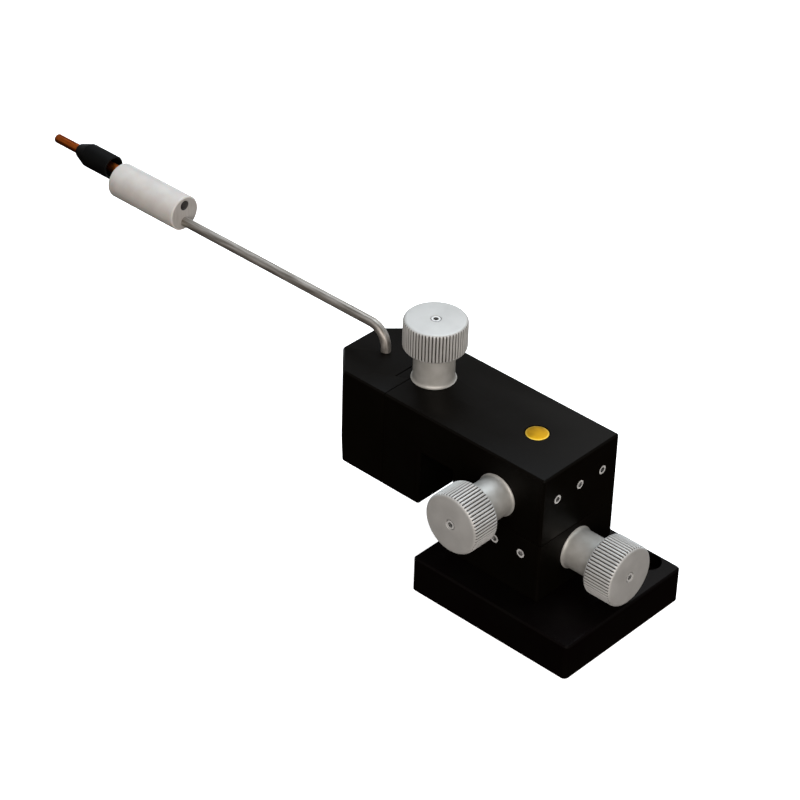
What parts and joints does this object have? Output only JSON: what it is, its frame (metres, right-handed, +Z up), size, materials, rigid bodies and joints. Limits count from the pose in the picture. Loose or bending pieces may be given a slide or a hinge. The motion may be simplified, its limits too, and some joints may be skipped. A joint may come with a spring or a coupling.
{
  "type": "probe micropositioner",
  "caption": "Bench micropositioner on a thick base: dovetail slides with knurled knobs move a bent rod arm that holds an insulated probe tube.",
  "frame": {"origin": "centre of the base plate's underside", "axes": "+X forwards along the probe arm to its tip, +Y to the side with the side knob, +Z up"},
  "size_m": [0.236, 0.061, 0.0737],
  "materials": {
    "black_steel": "satin black",
    "black_anodised": "satin black anodised aluminium",
    "ground_steel": "ground",
    "steel_screw": "turned",
    "black_screw": "black oxide",
    "silver_anodised": "matte bead-blasted",
    "brass": "satin",
    "stainless": "drawn, satin",
    "white_plastic": "smooth turned",
    "copper": "drawn copper",
    "black_plastic": "matte"
  },
  "bodies": {
    "base": {"base_plate": "black_steel", "x_rail": "ground_steel", "x_rail_screws": "black_screw", "x_drive_nut": "brass"},
    "x_stage": {"x_block": "black_anodised", "x_gib": "brass", "x_gib_screws": "steel_screw", "x_neck": "silver_anodised", "y_rail": "ground_steel", "y_rail_screws": "steel_screw", "y_drive_nut": "brass"},
    "x_drive": {"x_lead_screw": "ground_steel", "x_knob": "silver_anodised", "x_knob_screw": "steel_screw"},
    "arm": {"arm_block": "black_anodised", "y_gib": "brass", "y_gib_screws": "steel_screw", "y_neck": "silver_anodised", "z_neck": "silver_anodised", "brass_plug": "brass"},
    "y_drive": {"y_lead_screw": "ground_steel", "y_knob": "silver_anodised", "y_knob_screw": "steel_screw"},
    "z_drive": {"z_lead_screw": "ground_steel", "z_knob": "silver_anodised", "z_knob_screw": "steel_screw"},
    "z_carriage": {"nose_carriage": "black_anodised", "z_gib": "brass", "z_gib_screws": "steel_screw", "z_drive_nut": "brass", "arm_clamp_screw": "steel_screw"},
    "probe_arm": {"bent_rod": "stainless", "insulator": "white_plastic", "probe_tube": "copper"},
    "sleeve": {"tip_sleeve": "black_plastic"}
  },
  "joints": [
    {"name": "x_travel", "type": "slide", "parent": "base", "child": "x_stage", "axis": [1, 0, 0], "range_m": [-0.004, 0.004]},
    {"name": "x_knob_turn", "type": "hinge", "parent": "x_stage", "child": "x_drive", "pos_m": [-0.0099, 0, 0.0224], "axis": [1, 0, 0], "range_deg": [-2881, 2881]},
    {"name": "y_travel", "type": "slide", "parent": "x_stage", "child": "arm", "axis": [0, 1, 0], "range_m": [-0.004, 0.004]},
    {"name": "y_knob_turn", "type": "hinge", "parent": "arm", "child": "y_drive", "pos_m": [0.0067, 0.0162, 0.0406], "axis": [0, -1, 0], "range_deg": [-2881, 2881]},
    {"name": "z_knob_turn", "type": "hinge", "parent": "arm", "child": "z_drive", "pos_m": [0.0457, 0, 0.05365], "axis": [0, 0, -1], "range_deg": [-2881, 2881]},
    {"name": "z_travel", "type": "slide", "parent": "arm", "child": "z_carriage", "axis": [0, 0, 1], "range_m": [-0.004, 0.004]},
    {"name": "arm_swivel", "type": "hinge", "parent": "z_carriage", "child": "probe_arm", "pos_m": [0.0645, 0, 0.0536], "axis": [0, 0, 1], "range_deg": [-90, 90]},
    {"name": "sleeve_slide", "type": "slide", "parent": "probe_arm", "child": "sleeve", "axis": [1, 0, 0], "range_m": [-0.0025, 0.006]}
  ],
  "couplings": [
    {"joint": "x_knob_turn", "follows": "x_travel", "rad_per_m": 12566},
    {"joint": "y_knob_turn", "follows": "y_travel", "rad_per_m": -12566},
    {"joint": "z_knob_turn", "follows": "z_travel", "rad_per_m": 12566}
  ]
}
